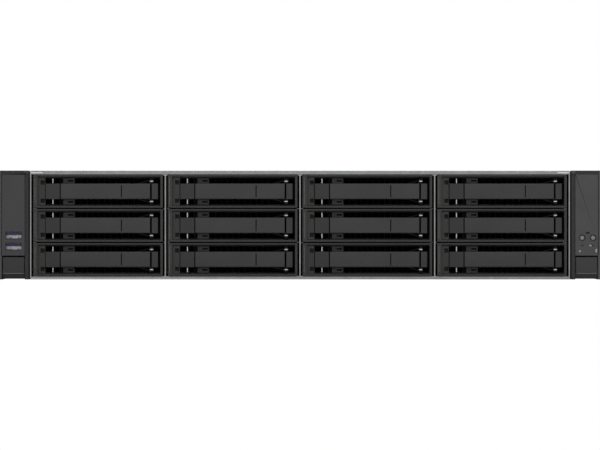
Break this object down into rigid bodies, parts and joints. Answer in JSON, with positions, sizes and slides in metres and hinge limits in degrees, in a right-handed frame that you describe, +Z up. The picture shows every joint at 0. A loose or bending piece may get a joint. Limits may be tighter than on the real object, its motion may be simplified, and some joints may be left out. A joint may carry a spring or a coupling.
{
  "type": "2u rack server",
  "caption": "Two-unit rack server with front drive carriers, rack ears with latches and controls, lift-off top cover, fans, and pull-out power supplies.",
  "frame": {"origin": "middle of the footprint, on the surface the server rests on", "axes": "+Z up, -Y towards the front with the drive carriers, +X to the right seen from the front"},
  "size_m": [0.4826, 0.77, 0.0875],
  "materials": {
    "zinc_plated_steel": "satin",
    "cover_steel": "satin",
    "bezel_plastic": "matte",
    "ear_plastic": "matte",
    "button_plastic": "satin",
    "black_plastic": "matte",
    "grey_plastic": "matte",
    "circuit_board": "semi-gloss",
    "cooler_aluminium": "satin",
    "supply_shell": "satin",
    "socket_steel": "polished"
  },
  "bodies": {
    "chassis": {"chassis_pan": "zinc_plated_steel", "rear_panel": "zinc_plated_steel", "drive_cage": "zinc_plated_steel", "backplane": "circuit_board", "fan_wall": "black_plastic", "system_board": "circuit_board", "memory_modules": "circuit_board", "front_cover": "cover_steel", "left_ear": "ear_plastic", "right_ear": "ear_plastic"},
    "drive_carrier_01": {"drive_carrier_01": "bezel_plastic"},
    "carrier_lever_01": {"carrier_lever_01": "bezel_plastic"},
    "release_button_01": {"release_button_01": "bezel_plastic"},
    "drive_carrier_02": {"drive_carrier_02": "bezel_plastic"},
    "carrier_lever_02": {"carrier_lever_02": "bezel_plastic"},
    "release_button_02": {"release_button_02": "bezel_plastic"},
    "drive_carrier_03": {"drive_carrier_03": "bezel_plastic"},
    "carrier_lever_03": {"carrier_lever_03": "bezel_plastic"},
    "release_button_03": {"release_button_03": "bezel_plastic"},
    "drive_carrier_04": {"drive_carrier_04": "bezel_plastic"},
    "carrier_lever_04": {"carrier_lever_04": "bezel_plastic"},
    "release_button_04": {"release_button_04": "bezel_plastic"},
    "drive_carrier_05": {"drive_carrier_05": "bezel_plastic"},
    "carrier_lever_05": {"carrier_lever_05": "bezel_plastic"},
    "release_button_05": {"release_button_05": "bezel_plastic"},
    "drive_carrier_06": {"drive_carrier_06": "bezel_plastic"},
    "carrier_lever_06": {"carrier_lever_06": "bezel_plastic"},
    "release_button_06": {"release_button_06": "bezel_plastic"},
    "drive_carrier_07": {"drive_carrier_07": "bezel_plastic"},
    "carrier_lever_07": {"carrier_lever_07": "bezel_plastic"},
    "release_button_07": {"release_button_07": "bezel_plastic"},
    "drive_carrier_08": {"drive_carrier_08": "bezel_plastic"},
    "carrier_lever_08": {"carrier_lever_08": "bezel_plastic"},
    "release_button_08": {"release_button_08": "bezel_plastic"},
    "drive_carrier_09": {"drive_carrier_09": "bezel_plastic"},
    "carrier_lever_09": {"carrier_lever_09": "bezel_plastic"},
    "release_button_09": {"release_button_09": "bezel_plastic"},
    "drive_carrier_10": {"drive_carrier_10": "bezel_plastic"},
    "carrier_lever_10": {"carrier_lever_10": "bezel_plastic"},
    "release_button_10": {"release_button_10": "bezel_plastic"},
    "drive_carrier_11": {"drive_carrier_11": "bezel_plastic"},
    "carrier_lever_11": {"carrier_lever_11": "bezel_plastic"},
    "release_button_11": {"release_button_11": "bezel_plastic"},
    "drive_carrier_12": {"drive_carrier_12": "bezel_plastic"},
    "carrier_lever_12": {"carrier_lever_12": "bezel_plastic"},
    "release_button_12": {"release_button_12": "bezel_plastic"},
    "left_ear_latch": {"left_ear_latch": "ear_plastic"},
    "right_ear_latch": {"right_ear_latch": "ear_plastic"},
    "power_button": {"power_button": "button_plastic"},
    "id_button": {"id_button": "button_plastic"},
    "top_cover": {"top_cover": "cover_steel"},
    "cover_latch": {"cover_latch": "grey_plastic"},
    "fan_rotor_1": {"fan_rotor_1": "black_plastic"},
    "fan_rotor_2": {"fan_rotor_2": "black_plastic"},
    "fan_rotor_3": {"fan_rotor_3": "black_plastic"},
    "fan_rotor_4": {"fan_rotor_4": "black_plastic"},
    "power_supply_1": {"power_supply_1": "supply_shell"},
    "power_supply_latch_1": {"power_supply_latch_1": "grey_plastic"},
    "power_supply_2": {"power_supply_2": "supply_shell"},
    "power_supply_latch_2": {"power_supply_latch_2": "grey_plastic"}
  },
  "joints": [
    {"name": "carrier_slide_01", "type": "slide", "parent": "chassis", "child": "drive_carrier_01", "axis": [0, -1, 0], "range_m": [0, 0.19]},
    {"name": "lever_hinge_01", "type": "hinge", "parent": "drive_carrier_01", "child": "carrier_lever_01", "pos_m": [-0.1193, -0.382, 0.0708], "axis": [0, 0, 1], "range_deg": [0, 65]},
    {"name": "release_push_01", "type": "slide", "parent": "drive_carrier_01", "child": "release_button_01", "axis": [0, 1, 0], "range_m": [0, 0.0015], "stiffness_N_per_m": 400, "springref_m": -0.002},
    {"name": "carrier_slide_02", "type": "slide", "parent": "chassis", "child": "drive_carrier_02", "axis": [0, -1, 0], "range_m": [0, 0.19]},
    {"name": "lever_hinge_02", "type": "hinge", "parent": "drive_carrier_02", "child": "carrier_lever_02", "pos_m": [-0.1193, -0.382, 0.0434], "axis": [0, 0, 1], "range_deg": [0, 65]},
    {"name": "release_push_02", "type": "slide", "parent": "drive_carrier_02", "child": "release_button_02", "axis": [0, 1, 0], "range_m": [0, 0.0015], "stiffness_N_per_m": 400, "springref_m": -0.002},
    {"name": "carrier_slide_03", "type": "slide", "parent": "chassis", "child": "drive_carrier_03", "axis": [0, -1, 0], "range_m": [0, 0.19]},
    {"name": "lever_hinge_03", "type": "hinge", "parent": "drive_carrier_03", "child": "carrier_lever_03", "pos_m": [-0.1193, -0.382, 0.016], "axis": [0, 0, 1], "range_deg": [0, 65]},
    {"name": "release_push_03", "type": "slide", "parent": "drive_carrier_03", "child": "release_button_03", "axis": [0, 1, 0], "range_m": [0, 0.0015], "stiffness_N_per_m": 400, "springref_m": -0.002},
    {"name": "carrier_slide_04", "type": "slide", "parent": "chassis", "child": "drive_carrier_04", "axis": [0, -1, 0], "range_m": [0, 0.19]},
    {"name": "lever_hinge_04", "type": "hinge", "parent": "drive_carrier_04", "child": "carrier_lever_04", "pos_m": [-0.0111, -0.382, 0.0708], "axis": [0, 0, 1], "range_deg": [0, 65]},
    {"name": "release_push_04", "type": "slide", "parent": "drive_carrier_04", "child": "release_button_04", "axis": [0, 1, 0], "range_m": [0, 0.0015], "stiffness_N_per_m": 400, "springref_m": -0.002},
    {"name": "carrier_slide_05", "type": "slide", "parent": "chassis", "child": "drive_carrier_05", "axis": [0, -1, 0], "range_m": [0, 0.19]},
    {"name": "lever_hinge_05", "type": "hinge", "parent": "drive_carrier_05", "child": "carrier_lever_05", "pos_m": [-0.0111, -0.382, 0.0434], "axis": [0, 0, 1], "range_deg": [0, 65]},
    {"name": "release_push_05", "type": "slide", "parent": "drive_carrier_05", "child": "release_button_05", "axis": [0, 1, 0], "range_m": [0, 0.0015], "stiffness_N_per_m": 400, "springref_m": -0.002},
    {"name": "carrier_slide_06", "type": "slide", "parent": "chassis", "child": "drive_carrier_06", "axis": [0, -1, 0], "range_m": [0, 0.19]},
    {"name": "lever_hinge_06", "type": "hinge", "parent": "drive_carrier_06", "child": "carrier_lever_06", "pos_m": [-0.0111, -0.382, 0.016], "axis": [0, 0, 1], "range_deg": [0, 65]},
    {"name": "release_push_06", "type": "slide", "parent": "drive_carrier_06", "child": "release_button_06", "axis": [0, 1, 0], "range_m": [0, 0.0015], "stiffness_N_per_m": 400, "springref_m": -0.002},
    {"name": "carrier_slide_07", "type": "slide", "parent": "chassis", "child": "drive_carrier_07", "axis": [0, -1, 0], "range_m": [0, 0.19]},
    {"name": "lever_hinge_07", "type": "hinge", "parent": "drive_carrier_07", "child": "carrier_lever_07", "pos_m": [0.0971, -0.382, 0.0708], "axis": [0, 0, 1], "range_deg": [0, 65]},
    {"name": "release_push_07", "type": "slide", "parent": "drive_carrier_07", "child": "release_button_07", "axis": [0, 1, 0], "range_m": [0, 0.0015], "stiffness_N_per_m": 400, "springref_m": -0.002},
    {"name": "carrier_slide_08", "type": "slide", "parent": "chassis", "child": "drive_carrier_08", "axis": [0, -1, 0], "range_m": [0, 0.19]},
    {"name": "lever_hinge_08", "type": "hinge", "parent": "drive_carrier_08", "child": "carrier_lever_08", "pos_m": [0.0971, -0.382, 0.0434], "axis": [0, 0, 1], "range_deg": [0, 65]},
    {"name": "release_push_08", "type": "slide", "parent": "drive_carrier_08", "child": "release_button_08", "axis": [0, 1, 0], "range_m": [0, 0.0015], "stiffness_N_per_m": 400, "springref_m": -0.002},
    {"name": "carrier_slide_09", "type": "slide", "parent": "chassis", "child": "drive_carrier_09", "axis": [0, -1, 0], "range_m": [0, 0.19]},
    {"name": "lever_hinge_09", "type": "hinge", "parent": "drive_carrier_09", "child": "carrier_lever_09", "pos_m": [0.0971, -0.382, 0.016], "axis": [0, 0, 1], "range_deg": [0, 65]},
    {"name": "release_push_09", "type": "slide", "parent": "drive_carrier_09", "child": "release_button_09", "axis": [0, 1, 0], "range_m": [0, 0.0015], "stiffness_N_per_m": 400, "springref_m": -0.002},
    {"name": "carrier_slide_10", "type": "slide", "parent": "chassis", "child": "drive_carrier_10", "axis": [0, -1, 0], "range_m": [0, 0.19]},
    {"name": "lever_hinge_10", "type": "hinge", "parent": "drive_carrier_10", "child": "carrier_lever_10", "pos_m": [0.2053, -0.382, 0.0708], "axis": [0, 0, 1], "range_deg": [0, 65]},
    {"name": "release_push_10", "type": "slide", "parent": "drive_carrier_10", "child": "release_button_10", "axis": [0, 1, 0], "range_m": [0, 0.0015], "stiffness_N_per_m": 400, "springref_m": -0.002},
    {"name": "carrier_slide_11", "type": "slide", "parent": "chassis", "child": "drive_carrier_11", "axis": [0, -1, 0], "range_m": [0, 0.19]},
    {"name": "lever_hinge_11", "type": "hinge", "parent": "drive_carrier_11", "child": "carrier_lever_11", "pos_m": [0.2053, -0.382, 0.0434], "axis": [0, 0, 1], "range_deg": [0, 65]},
    {"name": "release_push_11", "type": "slide", "parent": "drive_carrier_11", "child": "release_button_11", "axis": [0, 1, 0], "range_m": [0, 0.0015], "stiffness_N_per_m": 400, "springref_m": -0.002},
    {"name": "carrier_slide_12", "type": "slide", "parent": "chassis", "child": "drive_carrier_12", "axis": [0, -1, 0], "range_m": [0, 0.19]},
    {"name": "lever_hinge_12", "type": "hinge", "parent": "drive_carrier_12", "child": "carrier_lever_12", "pos_m": [0.2053, -0.382, 0.016], "axis": [0, 0, 1], "range_deg": [0, 65]},
    {"name": "release_push_12", "type": "slide", "parent": "drive_carrier_12", "child": "release_button_12", "axis": [0, 1, 0], "range_m": [0, 0.0015], "stiffness_N_per_m": 400, "springref_m": -0.002},
    {"name": "left_ear_latch_hinge", "type": "hinge", "parent": "chassis", "child": "left_ear_latch", "pos_m": [-0.23025, -0.3825, 0.0153], "axis": [-1, 0, 0], "range_deg": [0, 75], "stiffness_Nm_per_rad": 0.02, "springref_deg": -11.46},
    {"name": "right_ear_latch_hinge", "type": "hinge", "parent": "chassis", "child": "right_ear_latch", "pos_m": [0.23025, -0.3825, 0.0153], "axis": [-1, 0, 0], "range_deg": [0, 75], "stiffness_Nm_per_rad": 0.02, "springref_deg": -11.46},
    {"name": "power_button_push", "type": "slide", "parent": "chassis", "child": "power_button", "axis": [0, 1, 0], "range_m": [0, 0.001], "stiffness_N_per_m": 500, "springref_m": -0.002},
    {"name": "id_button_push", "type": "slide", "parent": "chassis", "child": "id_button", "axis": [0, 1, 0], "range_m": [0, 0.001], "stiffness_N_per_m": 500, "springref_m": -0.002},
    {"name": "top_cover_lift", "type": "slide", "parent": "chassis", "child": "top_cover", "axis": [0, 0.7071, 0.7071], "range_m": [0, 0.2]},
    {"name": "cover_latch_hinge", "type": "hinge", "parent": "top_cover", "child": "cover_latch", "pos_m": [0, -0.089, 0.0843], "axis": [1, 0, 0], "range_deg": [0, 95]},
    {"name": "fan_spin_1", "type": "hinge", "parent": "chassis", "child": "fan_rotor_1", "pos_m": [-0.16193, -0.135, 0.0423], "axis": [0, 1, 0], "continuous": true},
    {"name": "fan_spin_2", "type": "hinge", "parent": "chassis", "child": "fan_rotor_2", "pos_m": [-0.05398, -0.135, 0.0423], "axis": [0, 1, 0], "continuous": true},
    {"name": "fan_spin_3", "type": "hinge", "parent": "chassis", "child": "fan_rotor_3", "pos_m": [0.05398, -0.135, 0.0423], "axis": [0, 1, 0], "continuous": true},
    {"name": "fan_spin_4", "type": "hinge", "parent": "chassis", "child": "fan_rotor_4", "pos_m": [0.16193, -0.135, 0.0423], "axis": [0, 1, 0], "continuous": true},
    {"name": "power_supply_slide_1", "type": "slide", "parent": "chassis", "child": "power_supply_1", "axis": [0, 1, 0], "range_m": [0, 0.2]},
    {"name": "power_supply_latch_hinge_1", "type": "hinge", "parent": "power_supply_1", "child": "power_supply_latch_1", "pos_m": [0.2091, 0.343, 0.02115], "axis": [0, 0, 1], "range_deg": [0, 8], "stiffness_Nm_per_rad": 0.05, "springref_deg": -11.46},
    {"name": "power_supply_slide_2", "type": "slide", "parent": "chassis", "child": "power_supply_2", "axis": [0, 1, 0], "range_m": [0, 0.2]},
    {"name": "power_supply_latch_hinge_2", "type": "hinge", "parent": "power_supply_2", "child": "power_supply_latch_2", "pos_m": [0.2091, 0.343, 0.06245], "axis": [0, 0, 1], "range_deg": [0, 8], "stiffness_Nm_per_rad": 0.05, "springref_deg": -11.46}
  ]
}
